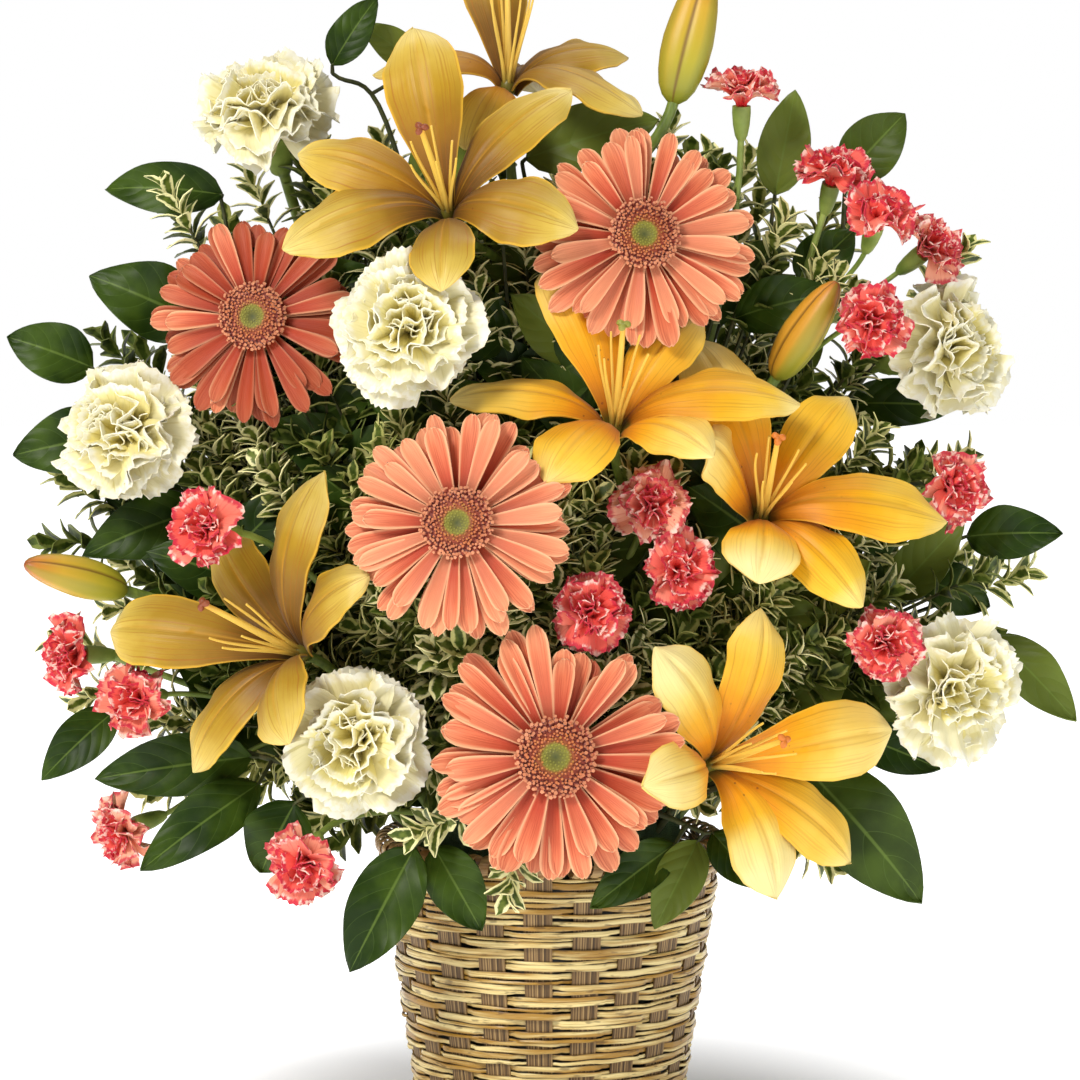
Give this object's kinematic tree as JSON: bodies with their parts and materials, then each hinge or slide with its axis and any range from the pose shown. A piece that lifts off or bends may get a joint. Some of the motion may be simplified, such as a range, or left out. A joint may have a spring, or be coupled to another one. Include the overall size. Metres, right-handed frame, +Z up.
{
  "type": "flower basket arrangement",
  "caption": "Free-standing cut-flower arrangement of lilies, gerberas, carnations and foliage in a small round woven basket.",
  "frame": {"origin": "middle of the basket's foot, on the surface that it stands on", "axes": "+Z up; the arrangement's front, with its showing blooms, faces -Y; +X is to the right seen from the front"},
  "size_m": [0.5506, 0.2652, 0.5945],
  "materials": {
    "coral": "soft matte petal, salmon-coral with paler edges",
    "disc": "orange-brown florets round a yellow-green eye",
    "gold": "waxy golden petal with ochre shading and pale edges",
    "cream": "soft cream-white ruffled petal",
    "pink": "coral-pink ruffled petal with pale streaks",
    "stem": "fresh green stem, satin",
    "leaf": "dark green leaf, glossy, with paler veins",
    "variegated": "small grey-green leaf with a cream margin",
    "cane": "split cane, pale, satin, with darker stakes",
    "cane_border": "wound cane border, satin",
    "liner": "thin dark plastic cup",
    "foam": "wet floral foam, matte, fine-pored"
  },
  "bodies": {
    "root": {"gerbera_1_rays": "coral", "gerbera_1_disc": "disc", "gerbera_1_stem": "stem", "gerbera_2_rays": "coral", "gerbera_2_disc": "disc", "gerbera_2_stem": "stem", "gerbera_3_rays": "coral", "gerbera_3_disc": "disc", "gerbera_3_stem": "stem", "gerbera_4_rays": "coral", "gerbera_4_disc": "disc", "gerbera_4_stem": "stem", "lily_1": "gold", "lily_2": "gold", "lily_3": "gold", "lily_4": "gold", "lily_5": "gold", "lily_6": "gold", "lily_stem_1": "stem", "lily_stem_2": "stem", "lily_stem_3": "stem", "lily_stem_4": "stem", "carnation_1": "cream", "carnation_1_stem": "stem", "carnation_2": "cream", "carnation_2_stem": "stem", "carnation_3": "cream", "carnation_3_stem": "stem", "carnation_4": "cream", "carnation_4_stem": "stem", "carnation_5": "cream", "carnation_5_stem": "stem", "carnation_6": "cream", "carnation_6_stem": "stem", "mini_top": "pink", "mini_upper_right": "pink", "mini_right": "pink", "mini_low_right": "pink", "mini_centre": "pink", "mini_left": "pink", "mini_low_left": "pink", "mini_front_left": "pink", "leaves_front_left": "leaf", "leaves_front_right": "leaf", "leaves_low_right": "leaf", "leaves_right": "leaf", "leaves_upper_right": "leaf", "leaves_top": "leaf", "leaves_left": "leaf", "leaves_low_left": "leaf", "leaves_back_right": "leaf", "leaves_back_left": "leaf", "spray_left": "variegated", "spray_right": "variegated", "spray_front": "variegated", "basket_base": "cane", "basket_wall": "cane", "basket_border": "cane_border", "liner": "liner", "foam": "foam"}
  },
  "joints": []
}
